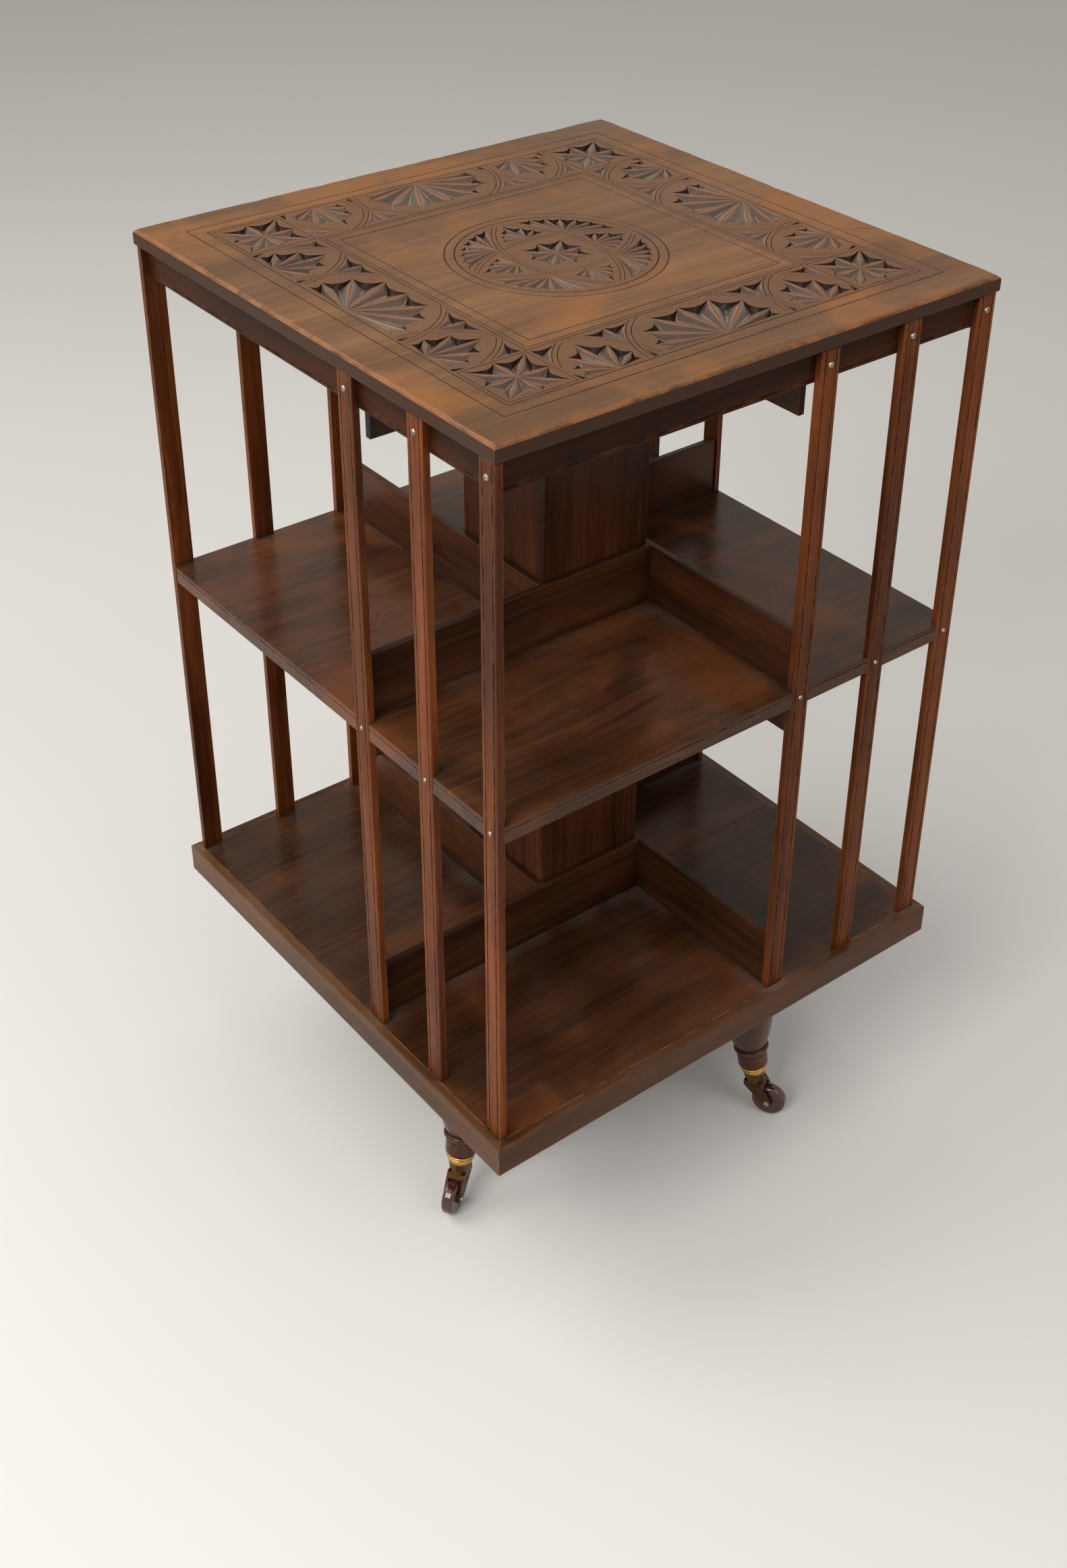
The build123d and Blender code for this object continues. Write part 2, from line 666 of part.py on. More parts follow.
# Castors: horn with its swivel pin, riveted axle, and wheel
for number, turn in legs.items():
    side = trail_plane(turn)
    hub_side = trail_plane(turn, caster_trail)
    with BuildPart() as horn:
        with BuildSketch(side):
            with Locations((0, (boss_bottom + boss_top) / 2)):
                Rectangle(2 * horn_boss_radius, horn_boss_height)
            with Locations((caster_trail, wheel_radius)):
                Circle(horn_eye_radius)
            make_hull()
        extrude(amount=arm_outer, both=True)
        with BuildSketch(side):
            with Locations((0, boss_bottom / 2)):
                Rectangle(horn_slot_length, boss_bottom)
        extrude(amount=arm_inner, both=True, mode=Mode.SUBTRACT)
        with BuildSketch(Plane(origin=foot_point(turn, boss_bottom))):
            Circle(horn_boss_radius)
        extrude(amount=horn_boss_height)
        with BuildSketch(Plane(origin=foot_point(turn, boss_top))):
            Circle(swivel_pin_radius)
        extrude(amount=swivel_pin_length)
        with BuildSketch(hub_side):
            with Locations((0, wheel_radius)):
                Circle(axle_radius)
        extrude(amount=arm_outer, both=True, mode=Mode.SUBTRACT)
    write(horn, f"caster_horn_{number}")
    with BuildPart() as axle:
        with BuildSketch(hub_side):
            with Locations((0, wheel_radius)):
                Circle(axle_radius)
        extrude(amount=arm_outer, both=True)
        for flank in (1, -1):
            with BuildSketch(hub_side.offset(flank * arm_outer)):
                with Locations((0, wheel_radius)):
                    Circle(axle_head_radius)
            extrude(amount=flank * axle_head_height)
    write(axle, f"caster_axle_{number}")
    with BuildPart() as wheel:
        with BuildSketch(hub_side):
            with Locations((0, wheel_radius)):
                Circle(wheel_radius)
        extrude(amount=wheel_width / 2, both=True)
        fillet(wheel.edges().filter_by(GeomType.CIRCLE), radius=wheel_round)
        with BuildSketch(hub_side):
            with Locations((0, wheel_radius)):
                Circle(wheel_hub_radius)
        extrude(amount=wheel_width / 2 + wheel_hub_rise, both=True)
        with BuildSketch(hub_side):
            with Locations((0, wheel_radius)):
                Circle(axle_radius + running_clearance)
        extrude(amount=wheel_width, both=True, mode=Mode.SUBTRACT)
    write(wheel, f"caster_wheel_{number}")
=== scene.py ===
import random
from math import asin, cos, degrees, hypot, pi, radians, sin, sqrt

import bmesh
import bpy
from mathutils import Matrix, Vector
from mathutils.geometry import delaunay_2d_cdt


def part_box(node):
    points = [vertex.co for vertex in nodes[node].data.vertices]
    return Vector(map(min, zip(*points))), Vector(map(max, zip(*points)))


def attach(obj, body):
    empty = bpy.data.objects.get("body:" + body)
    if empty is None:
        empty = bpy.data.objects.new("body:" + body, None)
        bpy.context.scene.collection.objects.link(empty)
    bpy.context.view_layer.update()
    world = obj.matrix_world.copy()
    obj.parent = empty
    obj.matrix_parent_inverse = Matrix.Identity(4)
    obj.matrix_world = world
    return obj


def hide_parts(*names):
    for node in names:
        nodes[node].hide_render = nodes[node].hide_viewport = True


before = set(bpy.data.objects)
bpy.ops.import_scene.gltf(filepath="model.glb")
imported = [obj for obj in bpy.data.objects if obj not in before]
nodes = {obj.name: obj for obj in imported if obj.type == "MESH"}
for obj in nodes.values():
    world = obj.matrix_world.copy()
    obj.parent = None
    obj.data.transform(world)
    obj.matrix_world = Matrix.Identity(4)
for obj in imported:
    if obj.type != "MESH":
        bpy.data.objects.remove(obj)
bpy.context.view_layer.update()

MM = 0.001


# Helpers that build node trees
def add(tree, kind, values=None, **props):
    """One shader node, with its properties, values and links."""
    node = tree.nodes.new("ShaderNode" + kind)
    for key, value in props.items():
        setattr(node, key, value)
    for key, value in (values or {}).items():
        if isinstance(value, bpy.types.NodeSocket):
            tree.links.new(value, node.inputs[key])
        else:
            node.inputs[key].default_value = value
    return node


def calc(tree, operation, a, b=0.0):
    """Result of a math node."""
    return add(tree, "Math", {0: a, 1: b}, operation=operation).outputs[0]


def times(tree, a, b):
    """Product of two values."""
    return calc(tree, "MULTIPLY", a, b)


def plus(tree, a, b):
    """Sum of two values."""
    return calc(tree, "ADD", a, b)


def vector(tree, operation, a, b):
    """Vector node on two vectors."""
    return add(tree, "VectorMath", {0: a, 1: b}, operation=operation)


def ramp(tree, value, low, high, out_low=0.0, out_high=1.0):
    """Smooth step of a value between two levels."""
    values = {"Value": value, "From Min": low, "From Max": high, "To Min": out_low, "To Max": out_high}
    return add(tree, "MapRange", values, interpolation_type="SMOOTHSTEP").outputs["Result"]


def blend(tree, factor, a, b, kind="MIX"):
    """Mix of two colours."""
    return add(tree, "Mix", {0: factor, 6: a, 7: b}, data_type="RGBA", blend_type=kind).outputs[2]


def noise(tree, place, scale, detail=3.0, roughness=0.55, distortion=0.0):
    """Value of a noise texture."""
    values = {"Vector": place, "Scale": scale, "Detail": detail, "Roughness": roughness,
              "Distortion": distortion}
    return add(tree, "TexNoise", values).outputs["Fac"]


def split(tree, place):
    """The three parts of a vector."""
    return add(tree, "SeparateXYZ", {0: place}).outputs


def sharpness(tree, radius, samples, strongest=1.0):
    """How near a point is to a sharp arris."""
    soft = add(tree, "Bevel", {"Radius": radius}, samples=samples).outputs[0]
    sharp = add(tree, "NewGeometry").outputs["Normal"]
    same = vector(tree, "DOT_PRODUCT", soft, sharp).outputs["Value"]
    return ramp(tree, same, 0.985, 0.80, 0.0, strongest)


def linear(level):
    """Linear light of a display value of 0 to 255."""
    share = level / 255
    return share / 12.92 if level <= 10 else ((share + 0.055) / 1.055) ** 2.4


def rgb(r, g, b):
    """Linear colour from display values of 0 to 255."""
    return (linear(r), linear(g), linear(b), 1.0)


def scaled(colour, factor):
    """A colour made lighter or darker."""
    return tuple(min(1.0, part * factor) for part in colour[:3]) + (1.0,)


def start(name):
    """A new material, with its tree and shader."""
    material = bpy.data.materials.new(name)
    material.use_nodes = True
    tree = material.node_tree
    return material, tree, tree.nodes["Principled BSDF"]


# Turns that bring the grain to the first axis, and how little changes along it
GRAIN = {"x": (0, 0, 0), "y": (0, 0, -pi / 2), "z": (0, pi / 2, 0)}
RING_STRETCH = (0.07, 1.0, 1.0)
FIBRE_STRETCH = (0.022, 1.0, 1.0)
# Stretch of the streaks of the painted sheen on the top
SHEEN_STRETCH = (1.1, 3.4, 1.0)

# Scales of the timber's noise per metre, and sizes in metres
BEND_SCALE, BEND_SIZE = 5.0, 0.022
RING_SCALE, RINGS = 9.0, 11.0
STREAK_SCALE, BROAD_SCALE, PORE_SCALE, PATCH_SCALE = 210.0, 24.0, 1500.0, 6.5
RUB_SCALE, WAVE_SCALE, DUST_SCALE = 70.0, 60.0, 14.0
SIDE_SCALE, ARRIS_SCALE, SHEEN_SCALE, GLINT_SCALE = 45.0, 38.0, 2.6, 55.0
CREASE_REACH, WOOD_BUMP = 0.022, 0.0006

# Where grime lies on the top, in metres from its middle
BAND_START, BAND_STOP = (0.124, 0.137), (0.203, 0.192)
ROUNDEL_MIDDLE, ROUNDEL_STOP = (-0.003, -0.002, 0.837), (0.092, 0.076)

# Colour of the painted shade in the creases
CREASE_SHADE = rgb(26, 17, 13)
DUST = rgb(128, 116, 104)
GRIME = rgb(104, 70, 46)
# Colour of the painted sheen on the top
PAINTED_SHEEN = rgb(110, 84, 66)
SIDE_DARK = rgb(62, 40, 26)
ARRIS_LIGHT = rgb(142, 92, 58)
# Colour of the painted highlights at the bottom of the grooves
GROOVE_HIGHLIGHT = rgb(150, 130, 108)


def grain_line(tree, coord, grain, shift, board):
    """Coordinates along the grain; boards whose faces look to the sides run the other way."""
    place = coord.outputs["Object"]
    turn = GRAIN[grain] if isinstance(grain, str) else (0, 0, -grain)
    offset = (shift, shift * 0.7, shift * 0.3)
    along = add(tree, "Mapping", {"Vector": place, "Rotation": turn, "Location": offset}).outputs[0]
    if not board:
        return along
    turned = {"Vector": place, "Rotation": GRAIN["y"], "Location": (shift, 0, 0)}
    across = add(tree, "Mapping", turned).outputs[0]
    sideways = calc(tree, "ABSOLUTE", split(tree, coord.outputs["Normal"])["X"])
    facing = calc(tree, "GREATER_THAN", sideways, 0.5)
    return add(tree, "Mix", {0: facing, 4: along, 5: across}, data_type="VECTOR").outputs[1]


def figure_layers(tree, place, line):
    """Layers of the figure: rings, streaks, broad bands, patches and pores."""
    bend = add(tree, "TexNoise", {"Vector": line, "Scale": BEND_SCALE, "Detail": 2.0}).outputs["Color"]
    drift = add(tree, "VectorMath", {0: bend, "Scale": BEND_SIZE}, operation="SCALE").outputs[0]
    warped = vector(tree, "ADD", line, drift).outputs[0]
    ring_line = vector(tree, "MULTIPLY", warped, RING_STRETCH).outputs[0]
    fibre_line = vector(tree, "MULTIPLY", warped, FIBRE_STRETCH).outputs[0]
    waves = times(tree, noise(tree, ring_line, RING_SCALE, 1.5), RINGS)
    return {
        "rings": calc(tree, "PINGPONG", waves, 1.0),
        "streaks": noise(tree, fibre_line, STREAK_SCALE, 5.0, 0.65),
        "broad": noise(tree, ring_line, BROAD_SCALE, 3.0, 0.6),
        "patches": noise(tree, place, PATCH_SCALE, 3.0, 0.6, 0.4),
        "pores": ramp(tree, noise(tree, fibre_line, PORE_SCALE, 2.0, 0.5), 0.60, 0.72),
    }


def clean_colour(tree, layers, light, dark, figure, even, patch_light):
    """Colour of clean timber from its layers; an even one has less contrast."""
    patches = layers["patches"]
    low, high, shaded = (0.22, 0.80, 0.80) if even else (0.16, 0.82, 0.62)
    swing = calc(tree, "SUBTRACT", layers["broad"], 0.5)
    tone = plus(tree, times(tree, layers["rings"], 0.20 * figure), times(tree, layers["streaks"], 0.75))
    tone = plus(tree, tone, times(tree, swing, 0.85 * figure))
    colour = blend(tree, ramp(tree, tone, low, high), dark, light)
    if patch_light:
        colour = blend(tree, ramp(tree, patches, 0.50, 0.68, 0.0, 0.8), colour, patch_light)
    shade = ramp(tree, patches, 0.30, 0.62, shaded, 1.0)
    grey = add(tree, "CombineColor", {0: shade, 1: shade, 2: shade}).outputs[0]
    colour = blend(tree, 1.0, colour, grey, "MULTIPLY")
    return blend(tree, times(tree, layers["pores"], 0.55), colour, scaled(dark, 0.35))


def grime_and_sheen_on_top(tree, place, patches, colour):
    """Grime in the carved band and the roundel, and a painted sheen that grows toward the right rear
    corner.
    """
    spread = split(tree, place)
    reach = calc(tree, "MAXIMUM", calc(tree, "ABSOLUTE", spread["X"]), calc(tree, "ABSOLUTE", spread["Y"]))
    band = times(tree, ramp(tree, reach, *BAND_START), ramp(tree, reach, *BAND_STOP))
    middle = vector(tree, "DISTANCE", place, ROUNDEL_MIDDLE).outputs["Value"]
    carved = calc(tree, "MAXIMUM", band, ramp(tree, middle, *ROUNDEL_STOP))
    grime = times(tree, carved, ramp(tree, patches, 0.3, 0.7, 0.5, 0.85))
    colour = blend(tree, grime, colour, GRIME)
    # Painted sheen: pale streaks, stronger toward the right rear corner
    sheen_line = vector(tree, "MULTIPLY", place, SHEEN_STRETCH).outputs[0]
    streak = ramp(tree, noise(tree, sheen_line, SHEEN_SCALE, 4.0, 0.6, 0.8), 0.42, 0.62)
    rear = ramp(tree, plus(tree, spread["X"], spread["Y"]), 0.02, 0.40)
    sheen = times(tree, streak, plus(tree, times(tree, rear, 0.45), 0.12))
    return blend(tree, sheen, colour, PAINTED_SHEEN)


def dark_sides(tree, coord, place, colour):
    """Dark sides of the top below an arris that is rubbed light in places."""
    up_face = split(tree, coord.outputs["Normal"])["Z"]
    ragged = times(tree, noise(tree, place, SIDE_SCALE, 4.0, 0.7), 0.35)
    colour = blend(tree, ramp(tree, plus(tree, up_face, ragged), 0.98, 0.62), colour, SIDE_DARK)
    rubbed = ramp(tree, noise(tree, place, ARRIS_SCALE, 4.0, 0.7), 0.38, 0.64, 0.05, 0.9)
    arris = times(tree, ramp(tree, up_face, 0.985, 0.93), ramp(tree, up_face, 0.42, 0.60))
    return blend(tree, times(tree, arris, rubbed), colour, ARRIS_LIGHT)


def leaf_sides(tree, place, patches, colour, worn):
    """Worn crests of the carved leaves, and painted highlights along the bottom of the grooves."""
    dip = add(tree, "Attribute", attribute_name="dip").outputs["Fac"]
    crest = times(tree, ramp(tree, dip, 0.34, 0.02), ramp(tree, patches, 0.25, 0.55, 0.35, 0.9))
    colour = blend(tree, crest, colour, worn)
    # Painted highlight: light lines at the bottom of the grooves
    glint = ramp(tree, noise(tree, place, GLINT_SCALE, 4.0, 0.6), 0.36, 0.62, 0.15, 0.85)
    return blend(tree, times(tree, ramp(tree, dip, 0.84, 0.97), glint), colour, GROOVE_HIGHLIGHT)


def crease_shade_and_dust(tree, coord, place, colour, rough, dust):
    """Painted shade in the creases, and dust on what faces up."""
    open_sky = add(tree, "AmbientOcclusion", {"Distance": CREASE_REACH}, samples=12, only_local=False)
    sky = open_sky.outputs["AO"]
    # Painted shade: the colour is darkened where little of the sky is open
    colour = blend(tree, times(tree, ramp(tree, sky, 0.80, 0.38), 0.62), colour, CREASE_SHADE)
    if dust:
        up = ramp(tree, split(tree, coord.outputs["Normal"])["Z"], 0.7, 0.95)
        fluff = ramp(tree, noise(tree, place, DUST_SCALE, 3.0, 0.5), 0.35, 0.75)
        near = ramp(tree, sky, 0.97, 0.55, 0.15, 1.0)
        film = times(tree, times(tree, up, near), times(tree, fluff, dust))
        colour = blend(tree, film, colour, DUST)
        rough = plus(tree, rough, times(tree, film, 0.45))
    return colour, rough


def wood(name, grain, light, dark, worn, gloss=0.36, shift=0.0, figure=1.0, wear=0.6, wear_radius=1.2,
         dust=0.0, coat=0.0, shine=0.16, carved=False, pit=False, top=False, board=False, patch_light=None):
    """Old polished timber: figure along the grain, patches of polish, worn arrises, painted shade in the
    creases and dust.
    """
    material, tree, shader = start(name)
    coord = add(tree, "TexCoord")
    place = coord.outputs["Object"]
    layers = figure_layers(tree, place, grain_line(tree, coord, grain, shift, board))
    streaks, patches = layers["streaks"], layers["patches"]
    colour = clean_colour(tree, layers, light, dark, figure, top, patch_light)
    rough = plus(tree, times(tree, streaks, 0.16), gloss - 0.08)
    rough = plus(tree, rough, ramp(tree, patches, 0.45, 0.75, -0.04, 0.10))
    if top:
        colour = grime_and_sheen_on_top(tree, place, patches, colour)
        colour = dark_sides(tree, coord, place, colour)
    if carved:
        colour = leaf_sides(tree, place, patches, colour, worn)
    elif wear:
        rub = ramp(tree, noise(tree, place, RUB_SCALE, 4.0, 0.7), 0.40, 0.66)
        edge = times(tree, sharpness(tree, wear_radius * MM, 5), rub)
        colour = blend(tree, times(tree, edge, wear), colour, worn)
    if not (carved or pit):
        colour, rough = crease_shade_and_dust(tree, coord, place, colour, rough, dust)
    tree.links.new(colour, shader.inputs["Base Color"])
    tree.links.new(calc(tree, "MAXIMUM", rough, 0.12), shader.inputs["Roughness"])
    shader.inputs["Coat Weight"].default_value = coat
    shader.inputs["Coat Roughness"].default_value = 0.18
    shader.inputs["Specular IOR Level"].default_value = shine
    height = calc(tree, "SUBTRACT", times(tree, streaks, 0.55), times(tree, layers["pores"], 0.5))
    height = plus(tree, height, times(tree, noise(tree, place, WAVE_SCALE, 3.0), 0.9))
    bump = add(tree, "Bump", {"Height": height, "Strength": 0.30, "Distance": WOOD_BUMP})
    tree.links.new(bump.outputs[0], shader.inputs["Normal"])
    return material


def metal(name, colour, tarnish, low, high, metallic=1.0, scale=260.0, coat=0.0, bright=None, level=None,
          patchy=0.55, bump_size=0.0003):
    """Aged metal or glazed ware: patches of tarnish, bright arrises, uneven gloss and, where asked, a band
    of painted highlight.
    """
    material, tree, shader = start(name)
    place = add(tree, "TexCoord").outputs["Object"]
    spots = noise(tree, place, scale, 4.0, 0.65, 0.5)
    large = noise(tree, place, scale * 0.22, 3.0, 0.6)
    blot = times(tree, ramp(tree, spots, 0.40, 0.66), ramp(tree, large, 0.32, 0.62, 0.35, 1.0))
    base = colour
    # Painted highlight: above a given height the colour is bright and the tarnish less
    if bright:
        highlight_band = ramp(tree, split(tree, place)["Z"], *level)
        base = blend(tree, highlight_band, colour, bright)
        blot = times(tree, blot, calc(tree, "SUBTRACT", 1.0, times(tree, highlight_band, 0.7)))
    mixed = blend(tree, times(tree, blot, patchy), base, tarnish)
    edge = sharpness(tree, 0.5 * MM, 4, 0.5)
    mixed = blend(tree, edge, mixed, bright or scaled(colour, 1.6))
    tree.links.new(mixed, shader.inputs["Base Color"])
    tree.links.new(ramp(tree, spots, 0.3, 0.7, low, high), shader.inputs["Roughness"])
    shader.inputs["Metallic"].default_value = metallic
    shader.inputs["Coat Weight"].default_value = coat
    shader.inputs["Coat Roughness"].default_value = 0.06
    bump = add(tree, "Bump", {"Height": spots, "Strength": 0.25, "Distance": bump_size})
    tree.links.new(bump.outputs[0], shader.inputs["Normal"])
    return material


# Finishes: grain direction, light and dark of the figure, and the colour where worn
WORN = rgb(168, 118, 76)
BASE_TURN = radians(29.4)
FRIEZE_COLOURS = (rgb(72, 37, 18), rgb(38, 20, 10), WORN)
FRIEZE_LOOK = {"gloss": 0.42, "shine": 0.08, "wear": 0.7}
LIP_LOOK = {"gloss": 0.34, "wear": 0.9, "wear_radius": 2.0, "dust": 0.6}
RAIL_COLOURS = (rgb(98, 60, 38), rgb(54, 32, 22), WORN)

top_wood = wood("top_timber", "x", rgb(142, 97, 59), rgb(98, 66, 40), rgb(170, 118, 72), gloss=0.50,
                figure=0.8, top=True, shine=0.2, patch_light=rgb(146, 94, 50), wear=0.75, wear_radius=1.6)
carved_wood = wood("carved_timber", "x", rgb(98, 68, 50), rgb(64, 44, 33), rgb(142, 94, 58), gloss=0.27,
                   shine=0.42, carved=True, figure=0.5)
# The hollows of the cuts are dark: dark polish gathered in them, and painted shade of their depth
shaded_cut_wood = wood("cut_timber", "x", rgb(56, 37, 28), rgb(34, 23, 18), rgb(70, 46, 32), gloss=0.5,
                shine=0.2, figure=0.4, wear=0.0, pit=True)
slat_wood = wood("slat_timber", "z", rgb(144, 78, 37), rgb(78, 40, 20), WORN, shine=0.10, wear=0.8)
frieze_x = wood("frieze_timber_x", "x", *FRIEZE_COLOURS, shift=0.31, **FRIEZE_LOOK)
frieze_y = wood("frieze_timber_y", "y", *FRIEZE_COLOURS, shift=0.17, **FRIEZE_LOOK)
# The column, the shelf and the boards inside the case are darker than the slats: partly the timber's own
# colour, partly painted shade of the inside of the case
shaded_column_wood = wood("column_timber", "z", rgb(94, 51, 28), rgb(46, 25, 15), WORN, gloss=0.34, shift=0.53,
                   wear=0.4)
shaded_shelf_wood = wood("shelf_timber", "x", rgb(106, 63, 35), rgb(53, 30, 18), WORN, gloss=0.24, shift=0.11,
                  figure=0.6, dust=0.30, shine=0.22, patch_light=rgb(116, 65, 33))
shaded_board_wood = wood("board_timber", "x", rgb(90, 52, 30), rgb(46, 25, 15), WORN, gloss=0.34, shift=0.71,
                  wear=0.7, board=True)
tray_wood = wood("tray_timber", "x", rgb(92, 54, 30), rgb(47, 27, 16), WORN, gloss=0.26, shift=0.41,
                 wear=0.5, figure=0.6, dust=0.35, shine=0.2, patch_light=rgb(106, 59, 30))
# The lipping of the left and right sides is given lighter colours than that of the front and back: painted
# light, as the left side faces the light, and painted shade on the front and back
lip_x_shaded = wood("lipping_timber_x", "x", rgb(98, 61, 36), rgb(54, 33, 20), WORN, shift=0.23, **LIP_LOOK)
lip_y_lit = wood("lipping_timber_y", "y", rgb(116, 76, 46), rgb(66, 42, 26), WORN, shift=0.63, **LIP_LOOK)
rail_one = wood("rail_timber_one", BASE_TURN, *RAIL_COLOURS, gloss=0.5, shift=0.9)
rail_two = wood("rail_timber_two", BASE_TURN + pi / 2, *RAIL_COLOURS, gloss=0.5, shift=0.8)
leg_wood = wood("leg_timber", "z", rgb(104, 56, 31), rgb(50, 27, 16), WORN, gloss=0.26, shine=0.3,
                coat=0.1, shift=0.37, wear=0.7, figure=0.6)

# The double ring at the head of a ferrule is painted bright and less tarnished, a painted highlight
RING_HIGHLIGHT_LEVEL = (0.0485, 0.0520)
brass = metal("aged_brass", rgb(104, 74, 42), rgb(46, 32, 21), 0.22, 0.50, bright=rgb(206, 164, 96),
              level=RING_HIGHLIGHT_LEVEL)
horn_brass = metal("dark_brass", rgb(92, 68, 42), rgb(36, 27, 20), 0.26, 0.5, patchy=0.85)
steel = metal("worn_steel", rgb(176, 168, 158), rgb(84, 70, 60), 0.25, 0.5, patchy=0.7)
iron = metal("old_iron", rgb(70, 66, 62), rgb(44, 32, 26), 0.45, 0.7)
china = metal("glazed_maroon", rgb(70, 26, 24), rgb(40, 16, 16), 0.12, 0.30, metallic=0.0, scale=120.0,
              coat=0.6, patchy=0.6, bump_size=0.0001)


def finish(material, *names):
    """Give solids of the bookcase their finish."""
    for name in names:
        piece = nodes[name]
        piece.data.materials.clear()
        piece.data.materials.append(material)


for side in ("front", "right", "back", "left"):
    flat = side in ("front", "back")
    finish(frieze_x if flat else frieze_y, "frieze_" + side)
    finish(lip_x_shaded if flat else lip_y_lit, "tray_lipping_" + side)
    finish(shaded_column_wood, "column_lower_" + side, "column_upper_" + side)
    for where in ("centre", "middle", "corner"):
        finish(slat_wood, f"slat_{side}_{where}")
finish(shaded_shelf_wood, "middle_shelf")
finish(tray_wood, "tray_panel")
finish(shaded_board_wood, "tray_stop_boards", "shelf_hanging_boards", "shelf_stop_boards", "top_hanging_boards")
finish(steel, "frieze_screws", "shelf_screws", "spindle", "spindle_nut")
finish(iron, "pivot_cap")
finish(brass, "ferrules", "tray_bush")
finish(rail_one, "base_rail_lower")
finish(rail_two, "base_rail_upper")
for number in "1234":
    finish(leg_wood, "leg_" + number)
    finish(horn_brass, "caster_horn_" + number)
    finish(steel, "caster_axle_" + number)
    finish(china, "caster_wheel_" + number)


# Chip carving of the top, in mm. Each cut has an outline, points, faces and the faces' finishes
PLAIN, SLOPE, HOLLOW = 0, 1, 2
chips = []

# Points across a V line: share of the width, share of the depth
V_SECTION = ((0, 0), (0.27, 0.6), (0.5, 1), (0.73, 0.6), (1, 0))
V_TAPER, LEAST_MITRE = 0.3, 0.3

# A small pit has a step on the way to its deepest point: share of the way in, share of the depth
STEP_IN, STEP_DOWN = 0.45, 0.78

# Leaves: half the width of a ridge, and how the grooves beside it fall and their pits lie
CREST = 0.22
FALL, HALFWAY_DEPTH = 0.8, 0.36
PIT_MIDDLE, PIT_HOLD, PIT_WALL = 0.62, 0.5, 0.3
WIDE_ANGLE, ROOT_GAP = radians(22), 0.5
DEPTH_PER_WIDTH, LEAST_DEPTH, PIT_DROP = 0.30, 0.4, 1.0


def between(a, b, share):
    """Point on the line from one point to another."""
    return tuple(a[i] + (b[i] - a[i]) * share for i in (0, 1))


def line(path, width, depth):
    """Open V line along a path, pointed at both ends."""
    left, right = [tuple(path[0])], [tuple(path[0])]
    for before, here, after in zip(path, path[1:], path[2:]):
        way = (Vector(after) - Vector(before)).normalized()
        aside = Vector((-way.y, way.x)) * width / 2
        left.append(tuple(Vector(here) + aside))
        right.append(tuple(Vector(here) - aside))
    widths = [hypot(b[0] - a[0], b[1] - a[1]) for a, b in zip(left[1:], right[1:])]
    points = [(*path[0], 0.0)]
    for a, b, across in zip(left[1:], right[1:], widths):
        deep = depth * (across / max(widths)) ** V_TAPER
        points += [(*between(a, b, share), -deep * level) for share, level in V_SECTION]
    points.append((*path[-1], 0.0))
    row, last, faces = len(V_SECTION), len(points) - 1, []
    for k in range(row - 1):
        faces.append((0, 1 + k, 2 + k))
        for a in range(1 + k, last - row, row):
            faces.append((a, a + row, a + row + 1, a + 1))
        a = last - row + k
        faces.append((a, last, a + 1))
    left.append(tuple(path[-1]))
    chips.append((left + right[:0:-1], points, faces, [HOLLOW] * len(faces)))


def ring(path, width, depth):
    """Closed V line along a path whose corners are mitred."""
    sides = []
    for i, here in enumerate(path):
        before, here, after = Vector(path[i - 1]), Vector(here), Vector(path[(i + 1) % len(path)])
        a, b = (here - before).normalized(), (after - here).normalized()
        side_a, side_b = Vector((a.y, -a.x)), Vector((b.y, -b.x))
        mitre = (side_a + side_b).normalized()
        reach = width / 2 / max(LEAST_MITRE, mitre.dot(side_b))
        sides.append((here + mitre * reach, here, here - mitre * reach))
    for (out_a, mid_a, in_a), (out_b, mid_b, in_b) in zip(sides, sides[1:] + sides[:1]):
        points = [(*out_a, 0), (*out_b, 0), (*mid_b, -depth), (*in_b, 0), (*in_a, 0), (*mid_a, -depth)]
        outline = [tuple(p[:2]) for p in points]
        chips.append((outline, points, [(0, 1, 2, 5), (5, 2, 3, 4)], [HOLLOW, HOLLOW]))


def faceted_pit(outline, depth):
    """Pit whose sides slope to one deep point, steeper at first."""
    n = len(outline)
    middle = (sum(p[0] for p in outline) / n, sum(p[1] for p in outline) / n)
    points = [(*p, 0.0) for p in outline]
    points += [(*between(p, middle, STEP_IN), -depth * STEP_DOWN) for p in outline]
    points.append((*middle, -depth))
    faces = []
    for i in range(n):
        j = (i + 1) % n
        faces += [(i, j, n + j, n + i), (n + i, n + j, 2 * n)]
    chips.append((list(outline), points, faces, [HOLLOW] * len(faces)))


def placed(origin, turn=0.0):
    """Function that turns and moves a point from a local frame to the board's."""
    c, s = cos(radians(turn)), sin(radians(turn))
    return lambda p: (origin[0] + p[0] * c - p[1] * s, origin[1] + p[0] * s + p[1] * c)


def cast(origin, angle, inside, first=6.0, step=0.5, farthest=140.0):
    """How far a ray goes inside a compartment."""
    dx, dy = cos(angle), sin(angle)
    r = first
    while r < farthest and inside(origin[0] + dx * r, origin[1] + dy * r):
        r += step
    return r - step


